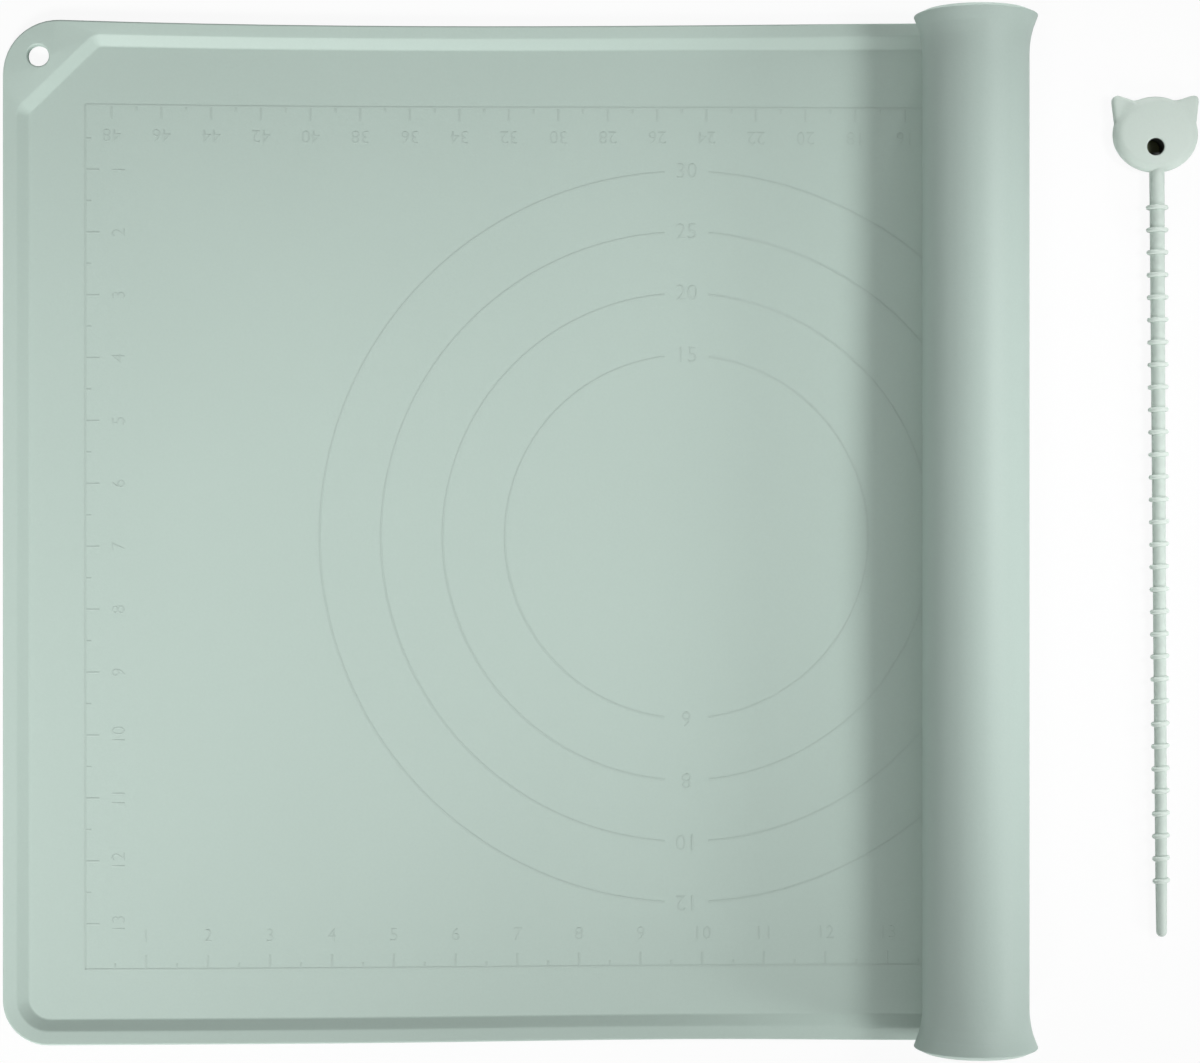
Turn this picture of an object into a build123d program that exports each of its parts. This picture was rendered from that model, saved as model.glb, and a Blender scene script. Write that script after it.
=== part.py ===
"""A silicone baking mat with its right end rolled up, and the ribbed tie that holds the roll shut.

X runs along the mat towards the rolled end, Y across it, Z up. The origin is on the table, at the
middle of the space that the mat and the tie take up. All lengths are in millimetres.
"""
from build123d import *
from math import asin, atan, cos, degrees, pi, radians, sin, sqrt
import os

# Mat: the sheet and its raised rim
mat_width = 420.0
flat_length = 393.0
sheet_thickness = 1.0
rim_height = 4.8
rim_top_width = 5.6
rim_slope_width = 4.4
rim_chamfer = 0.7
corner_radius = 18.5
foot_radius = 9.0

# Corner pad with the hanging hole
pad_corner_radius = 23.5
pad_reach = 42.5
pad_turn_radius = 8.0
hang_hole_radius = 4.4
hang_hole_inset = 14.3
hang_hole_chamfer = 0.6

# Roll: hinged strips along a spiral that tightens, so that each layer clears the one outside it
roll_radius = 27.75
layer_clearance = 0.5
strip_gap = 0.2
strip_degrees = 30
strip_count = 12
slope_steps = 2
corner_steps = 3

# Flare: the rims hold the ends of the roll wider than its middle
flare_height = 3.5
flare_length = 15.6
rise_length = 110.0
rise_steps = 5

# Tie: its place beside the mat
tie_offset = 81.0
tie_top = 179.6
tie_lean_degrees = 0.4

# Tie head: a pebble with two ears, and the eye that the tail goes through
head_half_width = 17.7
head_half_height = 15.7
head_half_depth = 4.8
head_edge_radius = 4.4
head_shift = 0.6
ear_thickness = 4.4
ear_tip_radius = 1.8
ear_edge_radius = 1.2
eye_radius = 3.45
eye_drop = 5.5
eye_shift = 0.8
eye_chamfer = 0.5
ear_corner_shares = [(1.04, 1.09), (0.43, 0.86), (0.3, 0.3), (0.96, 0.3)]

# Tie tail: a tapered rod with ribs and a plain end
neck_radius = 3.1
tail_radius = 2.4
tip_radius = 2.2
neck_length = 14.4
rib_pitch = 9.27
rib_count = 31
rib_width = 1.8
rib_sides = 24
first_rib_radius = 4.6
last_rib_radius = 3.6
plain_end_length = 23.3

# How far cutting tools run past what they cut
cut_overrun = 2.0

strip_turn = radians(strip_degrees)
turn_loss = rim_height + layer_clearance
roll_axis = Axis((0, 0, 0), (0, -1, 0))


def spiral_arcs():
    """The arcs of the roll, seen from the end: (first point, centre, radius, first angle, last angle).

    The first arc is the lip of the flat part, half as long as a strip, so that the chord of every
    strip turns by the same angle when the mat is laid flat."""
    arcs = []
    x, z = flat_length, 0
    for count in range(strip_count + 1):
        start = strip_turn * max(count - 1 / 2, 0)
        end = strip_turn * (count + 1 / 2)
        radius = roll_radius - turn_loss * (start + end) / 2 / (2 * pi)
        centre = (x - radius * sin(start), z + radius * cos(start))
        arcs.append(((x, z), centre, radius, start, end))
        x = centre[0] + radius * sin(end)
        z = centre[1] - radius * cos(end)
    return arcs


def flare_at(lift):
    """Rise of the middle, radius and angle of the flare, and half width of the underside."""
    rise = flare_height * lift
    if not rise:
        return 0, 0, 0, mat_width / 2
    radius = (flare_length ** 2 + rise ** 2) / (2 * rise)
    angle = asin(flare_length / radius)
    return rise, radius, angle, mat_width / 2 - rim_height * sin(angle)


def section_point(lift, inward, height):
    """A point of the cross-section, so far inward from the mat's edge and above its underside."""
    rise, radius, angle, half_width = flare_at(lift)
    if not rise:
        return Vector(0, half_width - inward, height)
    turn = angle - inward / (radius + height)
    across = half_width - flare_length + (radius + height) * sin(turn)
    return Vector(0, across, rise - radius + (radius + height) * cos(turn))


def section_edge(lift, start, end):
    """One edge of the cross-section between two (inward, height) places."""
    first, last = section_point(lift, *start), section_point(lift, *end)
    if not lift or start[1] != end[1]:
        return Line(first, last)
    between = section_point(lift, (start[0] + end[0]) / 2, start[1])
    return ThreePointArc(first, between, last)


def mat_section(lift, floor=sheet_thickness):
    """The mat cut across: flat with lift 0, and with lift 1 as it is in the roll.

    floor is the thickness between the rims."""
    rise, radius, angle, half_width = flare_at(lift)
    arc_length = flare_length if not rise else radius * angle
    floor_arc = flare_length if not rise else (radius + floor) * angle
    foot = rim_top_width + rim_slope_width
    places = [
        (arc_length, 0),
        (0, 0),
        (0, rim_height - rim_chamfer),
        (rim_chamfer, rim_height),
        (rim_top_width, rim_height),
        (foot, floor),
        (floor_arc, floor),
    ]
    half = [section_edge(lift, a, b) for a, b in zip(places, places[1:])]
    other = [edge.mirror(Plane.XZ) for edge in half]
    low, high = section_point(lift, *places[0]), section_point(lift, *places[-1])
    joins = [Line(point, Vector(0, -point.Y, point.Z)) for point in (low, high)]
    return Face(Wire([*half, *other, *joins]))


def swept_arc(section, radius, start, end):
    """The section carried round the roll's axis at this radius, from one angle to another."""
    lowered = section.moved(Location((0, 0, -radius)))
    solid = revolve(lowered, roll_axis, degrees(end - start))
    return solid.rotate(roll_axis, degrees(start))


def pocket_outline(height):
    """The inside of the rims at this height, open towards the roll."""
    down = (rim_height - height) / (rim_height - sheet_thickness) * rim_slope_width
    inset = rim_top_width + down
    reach = pad_reach + sqrt(2) * down - inset
    end = flat_length - rise_length + cut_overrun
    side = mat_width / 2 - inset
    corners = [(end, -side), (inset, -side), (inset, mat_width / 2 - reach), (reach, side), (end, side)]
    outline = make_face(Polyline(*corners, close=True).edges())
    grown = rim_slope_width - down
    by_x = outline.vertices().sort_by(Axis.X)
    low_corner = by_x[:2].sort_by(Axis.Y)[0]
    outline = fillet(low_corner, foot_radius + grown)
    pad_corners = [v for v in outline.vertices() if v.Y > 0 and v.X < end - cut_overrun]
    outline = fillet(pad_corners, pad_turn_radius + grown)
    return outline.moved(Location((0, 0, height)))


def flat_tray():
    """The part of the mat that lies flat: sheet, three rims and the corner pad."""
    length = flat_length - rise_length
    plate = Pos(length / 2, 0) * Rectangle(length, mat_width)
    left = plate.vertices().sort_by(Axis.X)[:2].sort_by(Axis.Y)
    plate = fillet(left[1], pad_corner_radius)
    low = plate.vertices().sort_by(Axis.Y).group_by(Axis.Y)[0].sort_by(Axis.X)[0]
    plate = fillet(low, corner_radius)
    tray = extrude(plate, rim_height)
    outer = tray.edges().group_by(Axis.Z)[-1].sort_by(Axis.X)[:-1]
    tray = chamfer(outer, rim_chamfer)
    heights = (sheet_thickness, rim_height + cut_overrun)
    return tray - loft([pocket_outline(z) for z in heights], ruled=True)


def rising_part():
    """Between the flat part and the roll, the sheet rises off the table and the rims lean out."""
    sections = []
    for step in range(rise_steps + 1):
        way = step / rise_steps
        place = Location((flat_length - rise_length * (1 - way), 0, 0))
        sections.append(mat_section(way * way * (3 - 2 * way)).moved(place))
    return loft(sections, ruled=True)


def bore(radius, depth, mouth):
    """What a round hole takes away along Z, up from the origin, with a chamfer at both faces."""
    hole = Cylinder(radius, depth + cut_overrun)
    cone = Cone(radius, radius + mouth, mouth)
    lift = (depth - mouth) / 2
    whole = hole + Pos(0, 0, lift) * cone + Pos(0, 0, -lift) * Rot(180, 0, 0) * cone
    return Pos(0, 0, depth / 2) * whole


def hang_hole():
    """The hanging hole through the corner pad."""
    place = Pos(hang_hole_inset, mat_width / 2 - hang_hole_inset)
    return place * bore(hang_hole_radius, rim_height, hang_hole_chamfer)


def mat_bed():
    """The flat part of the mat up to the first hinge line of the roll."""
    _, centre, radius, start, end = spiral_arcs()[0]
    lip = swept_arc(mat_section(1), radius, start, end - strip_gap / 2 / radius)
    lip = Pos(centre[0], 0, centre[1]) * lip
    return flat_tray() + rising_part() + lip - hang_hole()


def corner_loss(from_end):
    """How much the rounded corner takes off the mat's half width, so far from its free end."""
    into = max(corner_radius - from_end, 0)
    return corner_radius - sqrt(corner_radius ** 2 - into ** 2)


def corner_cutter(radius, turn, step, after):
    """What the rounded corner takes off over one step of a strip, as a wedge beyond a chord.

    turn is the angle at the middle of the step, step its angle, after its distance from the end."""
    half = radius * sin(step / 2)
    edge = mat_width / 2
    near, far = edge - corner_loss(after + radius * step), edge - corner_loss(after)
    slant = (far - near) / (2 * half)
    reach = half + cut_overrun
    outline = Polyline(
        (-reach, near - slant * (reach - half)),
        (reach, far + slant * (reach - half)),
        (reach, edge + cut_overrun),
        (-reach, edge + cut_overrun),
        close=True,
    )
    wedge = extrude(make_face(outline.edges()), radius + cut_overrun)
    wedge = wedge.moved(Location((0, 0, -radius - cut_overrun)))
    return wedge.rotate(roll_axis, degrees(turn))


def rounded_off(strip, arcs, count):
    """The strip with what the rounded corners of the free end take off it."""
    _, _, radius, start, end = arcs[count]
    step = (end - start) / corner_steps
    after = sum((e - s) * r for _, _, r, s, e in arcs[count + 1:])
    for way in range(corner_steps):
        if after < corner_radius:
            wedge = corner_cutter(radius, end - step * (way + 1 / 2), step, after)
            strip = strip - wedge - wedge.mirror(Plane.XZ)
        after += radius * step
    return strip


def last_strip(radius, first, last):
    """The strip of the free end, which rises in a slope to the top of its rim."""
    slope = rim_slope_width / radius
    top = last - rim_top_width / radius
    sheet = swept_arc(mat_section(1), radius, first, top - slope)
    rim = swept_arc(mat_section(1, rim_height), radius, top, last)
    sections = []
    for step in range(slope_steps + 1):
        way = step / slope_steps
        floor = sheet_thickness + (rim_height - sheet_thickness) * way
        section = mat_section(1, floor).moved(Location((0, 0, -radius)))
        sections.append(section.rotate(roll_axis, degrees(top - slope * (1 - way))))
    return sheet + rim + loft(sections, ruled=True)


def roll_strip(arcs, count):
    """One strip of the rolled end."""
    _, centre, radius, start, end = arcs[count]
    inset = strip_gap / 2 / radius
    if count == strip_count:
        strip = last_strip(radius, start + inset, end - inset)
    else:
        strip = swept_arc(mat_section(1), radius, start + inset, end - inset)
    return Pos(centre[0], 0, centre[1]) * rounded_off(strip, arcs, count)


def tie_head():
    """The rounded head with its two ears, around its own middle, without the eye."""
    outline = Ellipse(head_half_width, head_half_height)
    pebble = Pos(0, 0, -head_half_depth) * extrude(outline, 2 * head_half_depth)
    pebble = fillet(pebble.edges().filter_by(GeomType.ELLIPSE), head_edge_radius)
    corners = [(x * head_half_width, y * head_half_height) for x, y in ear_corner_shares]
    outline = make_face(Polyline(*corners, close=True).edges())
    tip = outline.vertices().sort_by(Axis.Y)[-1]
    outline = fillet(tip, ear_tip_radius)
    ear = Pos(0, 0, -ear_thickness / 2) * extrude(outline, ear_thickness)
    ear = fillet(ear.faces().sort_by(Axis.Z)[-1].edges(), ear_edge_radius)
    ear = fillet(ear.faces().sort_by(Axis.Z)[0].edges(), ear_edge_radius)
    return pebble + ear + ear.mirror(Plane.YZ)


def tail_radius_at(along):
    """The rod's radius, so far from the head."""
    ribbed = neck_length + rib_pitch * (rib_count - 1)
    return neck_radius + (tail_radius - neck_radius) * min(along / ribbed, 1)


def tie_rib(count):
    """One rib of the tail: a disc whose rim has flat sides, so that the part stays light."""
    along = neck_length + rib_pitch * count
    share = count / (rib_count - 1)
    crest = first_rib_radius + (last_rib_radius - first_rib_radius) * share
    disc = extrude(RegularPolygon(crest, rib_sides), rib_width / 2, both=True)
    return Pos(0, -along, 0) * Rot(90, 0, 0) * disc


def tie_tail():
    """The ribbed tail, from inside the head down along -Y. Each rib hides a step in the rod."""
    place = Vector(neck_radius, head_half_height / 2)
    edges = [Line(Vector(0, place.Y), place)]
    for count in range(rib_count):
        along = neck_length + rib_pitch * count
        stops = [place, Vector(place.X, -along), Vector(tail_radius_at(along), -along)]
        edges += [Line(a, b) for a, b in zip(stops, stops[1:])]
        place = stops[-1]
    end = neck_length + rib_pitch * (rib_count - 1) + plain_end_length
    turn = tip_radius * (1 - cos(pi / 4))
    stops = [
        place,
        Vector(tip_radius, tip_radius - end),
        Vector(tip_radius - turn, turn - end),
        Vector(0, -end),
        Vector(0, head_half_height / 2),
    ]
    edges += [Line(a, b) for a, b in zip(stops, stops[1:])]
    rod = revolve(make_face(edges), Axis.Y)
    return rod + [tie_rib(count) for count in range(rib_count)]


def tie():
    """The tie as it lies on the table, head towards +Y."""
    ribbed = rib_pitch * (rib_count - 1)
    sink = degrees(atan((first_rib_radius - last_rib_radius) / ribbed))
    tail = Pos(0, -head_half_height, 0) * Rot(sink, 0, 0) * tie_tail()
    eye = Pos(-head_shift - eye_shift, -eye_drop, -first_rib_radius)
    eye = eye * bore(eye_radius, first_rib_radius + head_half_depth, eye_chamfer)
    whole = Pos(-head_shift, 0, 0) * tie_head() + tail - eye
    room = 2 * (head_half_width + head_half_height) + ribbed + neck_length + plain_end_length
    under = Pos(0, 0, -first_rib_radius - head_half_depth) * Box(
        2 * room, 2 * room, 2 * head_half_depth
    )
    lie = Pos(flat_length + tie_offset, tie_top - head_half_height, first_rib_radius)
    return lie * Rot(0, 0, tie_lean_degrees) * (whole - under)


def main():
    os.makedirs("parts", exist_ok=True)
    arcs = spiral_arcs()
    pieces = {"mat_bed": mat_bed(), "tie": tie()}
    for count in range(1, strip_count + 1):
        pieces[f"roll_strip_{count:02d}"] = roll_strip(arcs, count)
    middle = pieces["tie"].bounding_box().max.X / 2
    for name, piece in pieces.items():
        export_step(piece.moved(Location((-middle, 0, 0))), f"parts/{name}.step")
    length = flat_length + sum((end - start) * radius for _, _, radius, start, end in arcs)
    print("mat length laid flat", round(length, 2))
    print("middle of the set from the mat's left edge", round(middle, 3))
    for count, ((x, z), _, radius, start, _) in enumerate(arcs):
        print("hinge", count, round(x - middle, 4), round(z, 4), "radius", round(radius, 3))


main()
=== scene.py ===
import math

import bmesh
import bpy
import numpy as np
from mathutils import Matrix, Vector
from mathutils.geometry import delaunay_2d_cdt


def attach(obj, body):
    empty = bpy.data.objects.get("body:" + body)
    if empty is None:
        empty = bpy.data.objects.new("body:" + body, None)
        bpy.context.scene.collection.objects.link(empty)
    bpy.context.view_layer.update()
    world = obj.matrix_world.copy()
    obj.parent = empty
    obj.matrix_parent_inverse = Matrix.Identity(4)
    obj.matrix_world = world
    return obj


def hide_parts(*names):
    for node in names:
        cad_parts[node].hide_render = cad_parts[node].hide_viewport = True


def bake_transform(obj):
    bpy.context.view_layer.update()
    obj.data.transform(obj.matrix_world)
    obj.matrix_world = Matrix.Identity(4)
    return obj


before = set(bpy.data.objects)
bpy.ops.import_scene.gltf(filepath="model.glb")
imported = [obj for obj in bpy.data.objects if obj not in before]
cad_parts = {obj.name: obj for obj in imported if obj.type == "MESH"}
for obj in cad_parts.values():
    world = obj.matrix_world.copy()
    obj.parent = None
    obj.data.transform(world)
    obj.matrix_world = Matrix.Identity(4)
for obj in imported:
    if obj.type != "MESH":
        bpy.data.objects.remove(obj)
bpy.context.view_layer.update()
mm = 0.001
print("frame loaded")


# Shader graphs: sums are written as sums, and other nodes come from one helper
class Wire:
    def __init__(self, tree, socket):
        self.tree, self.socket = tree, socket

    def maths(self, operation, *others):
        step = self.tree.nodes.new("ShaderNodeMath")
        step.operation = operation
        for place, value in zip(step.inputs, (self, *others)):
            plug(self.tree, value, place)
        return Wire(self.tree, step.outputs[0])

    def __add__(self, other):
        return self.maths("ADD", other)

    def __sub__(self, other):
        return self.maths("SUBTRACT", other)

    def __rsub__(self, other):
        return self * -1 + other

    def __mul__(self, other):
        return self.maths("MULTIPLY", other)

    def __truediv__(self, other):
        return self.maths("DIVIDE", other)

    def __rtruediv__(self, other):
        return self ** -1 * other

    def __pow__(self, other):
        return self.maths("POWER", other)

    __radd__ = __add__
    __rmul__ = __mul__

    def between(self, low, high):
        return self.maths("MAXIMUM", low).maths("MINIMUM", high)


def plug(tree, value, place):
    if isinstance(value, Wire):
        tree.links.new(value.socket, place)
    else:
        place.default_value = value


def addNode(tree, kind, inputs=None, output=0, **settings):
    made = tree.nodes.new(kind)
    for name, value in settings.items():
        setattr(made, name, value)
    for name, value in (inputs or {}).items():
        plug(tree, value, made.inputs[name])
    return Wire(tree, made.outputs[output])


def newMaterial(name):
    material = bpy.data.materials.new(name)
    material.use_nodes = True
    return material, material.node_tree, material.node_tree.nodes["Principled BSDF"]


def addObject(name, data):
    made = bpy.data.objects.new(name, data)
    bpy.context.scene.collection.objects.link(made)
    return made


# Silicone: a satin skin, with slow changes of tone and a very fine grain
noiseMean = 0.5  # the noise texture goes up and down around this value


def makeSilicone(name, look, shade=None):
    material, tree, shader = newMaterial(name)
    place = addNode(tree, "ShaderNodeTexCoord", output="Object")
    broad, fine = (
        addNode(
            tree,
            "ShaderNodeTexNoise",
            {"Vector": place, "Scale": look[size + "Scale"], "Detail": look[size + "Detail"]},
        )
        for size in ("broad", "fine")
    )
    tone = (broad - noiseMean) * look["broadTone"] + (fine - noiseMean) * look["fineTone"] + 1
    # An optional painted shade scales the tone down where it says
    if shade:
        tone = tone * shade(tree, place)
    tinted = addNode(
        tree, "ShaderNodeVectorMath", {0: look["color"], "Scale": tone}, operation="SCALE"
    )
    rough = (fine - noiseMean) * look["roughnessChange"] + look["roughness"]
    grain = {"Height": fine, "Strength": look["bump"], "Distance": look["bumpDepth"]}
    for socket, value in (
        ("Base Color", tinted),
        ("Roughness", rough.between(0, 1)),
        ("Specular IOR Level", look["specular"]),
        ("Subsurface Weight", look["softness"]),
        ("Subsurface Scale", look["softDepth"]),
        ("Subsurface Radius", (1, 1, 1)),
        ("Normal", addNode(tree, "ShaderNodeBump", grain)),
    ):
        plug(tree, value, shader.inputs[socket])
    return material


siliconeLook = {
    "color": (0.49, 0.60, 0.545),
    "broadScale": 7.0,
    "broadDetail": 2.0,
    "broadTone": 0.05,
    "fineScale": 900.0,
    "fineDetail": 3.0,
    "fineTone": 0.05,
    "roughness": 0.52,
    "roughnessChange": 0.1,
    "specular": 0.35,
    "softness": 0.12,
    "softDepth": 0.0015,
    "bump": 0.12,
    "bumpDepth": 0.0002,
}
markLook = {**siliconeLook, "color": (0.478, 0.587, 0.533)}
underLook = {**siliconeLook, "color": (0.445, 0.545, 0.50)}
tieLook = {**siliconeLook, "color": (0.575, 0.657, 0.606), "broadTone": 0.03}
# The ribs are the same silicone as the rod, coloured lighter: painted light, for the light that the
# raised ribs catch
litRibLook = {**tieLook, "color": (0.64, 0.715, 0.665)}
matSilicone = makeSilicone("matSilicone", siliconeLook)
markSilicone = makeSilicone("markSilicone", markLook)
underSilicone = makeSilicone("underSilicone", underLook)
litRibSilicone = makeSilicone("litRibSilicone", litRibLook)
print("materials made")


# Mat, in mm: worked out laid flat, x along it from its left edge, then carried onto the roll
matForm = {
    "width": 420.0,
    "flatLength": 393.0,
    "middle": 245.7,
    "sheet": 1.0,
    "rimHeight": 4.8,
    "rimTop": 5.6,
    "rimSlope": 4.4,
    "rimTilt": 0.9,
    "edgeRound": 0.8,
    "underRound": 0.3,
    "bendRound": 0.5,
    "cornerRadius": 18.5,
    "padCornerRadius": 23.5,
    "padReach": 42.5,
    "footRadius": 9.0,
    "padTurnRadius": 3.0,
    "holePlace": (14.3, 194.9),
    "holeRadius": 4.4,
    "holeRound": 0.7,
    "rollRadius": 27.75,
    "turnLoss": 5.3,
    "stripDegrees": 30,
    "stripCount": 12,
    "flareHeight": 3.5,
    "flareLength": 15.6,
    "riseLength": 110.0,
    "bowFar": 2.7,
    "bowFarSkew": 0.8,
    "bowNear": 1.2,
    "bowNearSkew": 2,
    "bowDepth": 5,
}
coarseArc, fineArc = math.radians(8), math.radians(3)
snapGap = 1e-3  # mm: points nearer to an edge than this lie on it


def rollArcs(form):
    turn = math.radians(form["stripDegrees"])
    arcs = []
    x, z, along = form["flatLength"], 0.0, form["flatLength"]
    for count in range(form["stripCount"] + 1):
        start, end = turn * max(count - 0.5, 0), turn * (count + 0.5)
        radius = form["rollRadius"] - form["turnLoss"] * (start + end) / 2 / (2 * math.pi)
        centreX, centreZ = x - radius * math.sin(start), z + radius * math.cos(start)
        arcs.append((along, radius, start, end, centreX, centreZ))
        x, z = centreX + radius * math.sin(end), centreZ - radius * math.cos(end)
        along += radius * (end - start)
    return arcs, along


arcList, matLength = rollArcs(matForm)
seams = [start + radius * (end - begin) / 2 for start, radius, begin, end, _, _ in arcList[1:]]


def smoothStep(way):
    way = np.clip(way, 0, 1)
    return way * way * (3 - 2 * way)


def bowedIn(x, y):
    # The soft long edges bow in between the corner and the roll, the far one more
    form = matForm
    way = np.clip(x / form["flatLength"], 0, 1)
    far = form["bowFar"] * np.sin(math.pi * way ** form["bowFarSkew"])
    near = form["bowNear"] * np.sin(math.pi * way ** form["bowNearSkew"]) ** 2
    share = (np.abs(y) / form["width"] * 2) ** form["bowDepth"]
    return y - np.where(y > 0, far, -near) * share


def wrapPoints(flat, leastRise=1e-5):
    # Points on the mat laid flat, with their height over it, go where the rolled mat has them
    form = matForm
    x, y, height = np.asarray(flat, dtype=float).T
    y = bowedIn(x, y)
    half = form["width"] / 2
    lift = smoothStep((x - form["flatLength"] + form["riseLength"]) / form["riseLength"])
    rise = np.maximum(form["flareHeight"] * lift, leastRise)
    length = form["flareLength"]
    radius = (length ** 2 + rise ** 2) / (2 * rise)
    angle = np.arcsin(length / radius)
    edge = half - form["rimHeight"] * np.sin(angle) - length
    inward = half - np.abs(y)
    reach = radius + height
    turn = angle - inward / reach
    flared = edge + reach * np.sin(np.maximum(turn, 0))
    level = edge * (half - inward) / (half - reach * angle)
    across = np.where(turn > 0, flared, level)
    up = np.where(turn > 0, rise - radius + reach * np.cos(np.maximum(turn, 0)), rise + height)
    place = np.stack([x, across * np.sign(y), up], axis=1)
    for start, bend, begin, _, centreX, centreZ in arcList:
        on = x >= start
        theta = begin + (x[on] - start) / bend
        place[on, 0] = centreX + (bend - up[on]) * np.sin(theta)
        place[on, 2] = centreZ - (bend - up[on]) * np.cos(theta)
    place[:, 0] -= form["middle"]
    return place * mm


def roundedRing(corners, radii, grow, arcStep=coarseArc, leastRadius=0.05):
    # A polygon with round corners, moved out by grow
    ring = []
    count = len(corners)
    for index in range(count):
        before, here, after = (np.array(corners[(index + k) % count]) for k in (-1, 0, 1))
        into, out = here - before, after - here
        normals = [np.array([d[1], -d[0]]) / np.linalg.norm(d) for d in (into, out)]
        bisector = (normals[0] + normals[1]) / (1 + normals[0] @ normals[1])
        radius = max(radii[index] + grow, leastRadius)
        centre = here + bisector * (grow - radius)
        first, last = (math.atan2(n[1], n[0]) for n in normals)
        last += 2 * math.pi if last < first else 0
        steps = max(2, math.ceil((last - first) / arcStep))
        for step in range(steps + 1):
            turn = first + (last - first) * step / steps
            ring.append(centre + radius * np.array([math.cos(turn), math.sin(turn)]))
    return np.array(ring)


def unitCircle(count):
    turns = [2 * math.pi * k / count for k in range(count)]
    return np.array([(math.cos(turn), math.sin(turn)) for turn in turns])


def matOutline():
    form = matForm
    side = form["width"] / 2
    corners = [(0, -side), (matLength, -side), (matLength, side), (0, side)]
    radii = [form["cornerRadius"]] * 3 + [form["padCornerRadius"]]
    return corners, radii


def pocketOutline():
    form = matForm
    inset = form["rimTop"] + form["rimSlope"]
    side = form["width"] / 2 - inset
    reach = form["padReach"] + math.sqrt(2) * form["rimSlope"] - inset
    far = matLength - inset
    corners = [(inset, -side), (far, -side), (far, side), (reach, side)]
    corners.append((inset, form["width"] / 2 - reach))
    return corners, [form["footRadius"]] * 3 + [form["padTurnRadius"]] * 2


def signedDistance(points, ring, nothing=1e-12):
    # Distance from a closed line, less than 0 inside it
    best = np.full(len(points), np.inf)
    inside = np.zeros(len(points), dtype=bool)
    for first, last in zip(ring, np.roll(ring, -1, axis=0)):
        edge = last - first
        size = edge @ edge
        if size < nothing:
            continue
        away = points - first
        way = np.clip(away @ edge / size, 0, 1)
        best = np.minimum(best, np.linalg.norm(away - way[:, None] * edge, axis=1))
        crosses = (first[1] > points[:, 1]) != (last[1] > points[:, 1])
        run = edge[1] if abs(edge[1]) > nothing else 1.0
        inside ^= crosses & (points[:, 0] < first[0] + (points[:, 1] - first[1]) * edge[0] / run)
    return np.where(inside, -best, best)


outerRing = roundedRing(*matOutline(), 0, fineArc)
footRing = roundedRing(*pocketOutline(), 0, fineArc)
holeCentre = np.array(matForm["holePlace"])


def easedRamp(distance, bend):
    # 0 up to the foot, then a straight slope of 1, with a rounded bend of this half width
    soft = np.clip((distance + bend) / (2 * bend), 0, 1)
    return np.where(distance > bend, distance, bend * soft * soft)


# Slow waves of the bed, in mm: each has a size, the lengths that it runs over and a start
waveForm = {
    "height": 0.08,
    "footFade": 12.0,
    "rollFadeStart": 300.0,
    "rollFadeLength": 80.0,
    "main": {"length": 23, "sway": 1.3, "swayLength": 41, "across": 37, "start": 0.9},
    "long": {"size": 0.6, "length": 61, "across": 47, "start": 0.4},
    "short": {"size": 0.35, "length": 13, "across": 19},
}


def bedWaves(points, climb):
    form = waveForm
    x, y = points.T
    fade = smoothStep((x - form["rollFadeStart"]) / form["rollFadeLength"])
    calm = np.clip(-climb / form["footFade"], 0, 1) * (1 - fade)
    main, long, short = form["main"], form["long"], form["short"]
    sway = main["sway"] * np.sin(y / main["swayLength"])
    wave = np.sin(x / main["length"] + sway) * np.cos(y / main["across"] + main["start"])
    wave += long["size"] * np.sin(x / long["length"] - y / long["across"] + long["start"])
    wave += short["size"] * np.sin(x / short["length"] + y / short["across"])
    return form["height"] * wave * calm


def bedHeight(points):
    form = matForm
    climb = signedDistance(points, footRing)
    fall = (form["rimHeight"] - form["rimTilt"] - form["sheet"]) / form["rimSlope"]
    lean = form["rimTilt"] / form["rimTop"]
    bend = form["bendRound"]
    slopeTop = easedRamp(climb - form["rimSlope"], bend)
    rimEdge = easedRamp(climb - form["rimSlope"] - form["rimTop"], bend)
    height = form["sheet"] + fall * (easedRamp(climb, bend) - slopeTop)
    return height + lean * (slopeTop - rimEdge) + bedWaves(points, climb)


def edgeFall(depth, size):
    return size - np.sqrt(np.maximum(size ** 2 - (size - np.clip(depth, 0, size)) ** 2, 0))


def matHeights(points):
    form = matForm
    depth = -signedDistance(points, outerRing)
    fromHole = np.linalg.norm(points - holeCentre, axis=1) - form["holeRadius"]
    fromHole[np.abs(fromHole) < snapGap] = 0
    depth[np.abs(depth) < snapGap] = 0
    top = bedHeight(points) - edgeFall(depth, form["edgeRound"])
    top -= edgeFall(fromHole, form["holeRound"])
    under = edgeFall(depth, form["underRound"]) + edgeFall(fromHole, form["underRound"])
    return top, under


# How finely the mat is cut up: closed lines, open lines and single points on the flat mat
planForm = {
    "edgeDepths": (0, 0.06, 0.24, 0.5, 0.8),
    "holeGrowths": (0, 0.05, 0.2, 0.42, 0.7, 2.2),
    "holeSides": 40,
    "loopStep": 30.0,
    "riseStep": 5.5,
    "rollStepDegrees": 3.0,
    "alongInsets": (13.4, 15.8, 18.5, 24.0),
    "alongEnd": 14.0,
    "endLines": 13,
    "endReach": 180.0,
    "endInsets": (16.0, 0.9),
    "bedStep": 9.0,
    "bedSquash": 0.98,
    "bedReach": 190.0,
    "bedGap": 2.0,
    "padLength": 52.0,
    "padSide": 158.0,
    "overrun": 1.0,
    "holeShare": 0.99,
    "weld": 1e-4,
    "leastArea": 1e-7,
}


def planLoops():
    form, cuts = matForm, planForm
    loops = [roundedRing(*matOutline(), -depth) for depth in cuts["edgeDepths"]]
    bend, slope = form["bendRound"], form["rimSlope"]
    foot = (-bend, -bend / 2, 0, bend / 2, bend)
    top = (slope / 2, slope - bend, slope - bend / 2, slope, slope + bend / 2, slope + bend)
    loops += [roundedRing(*pocketOutline(), grow) for grow in foot + top]
    circle = unitCircle(cuts["holeSides"])
    loops += [holeCentre + (form["holeRadius"] + grow) * circle for grow in cuts["holeGrowths"]]
    return loops


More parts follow.
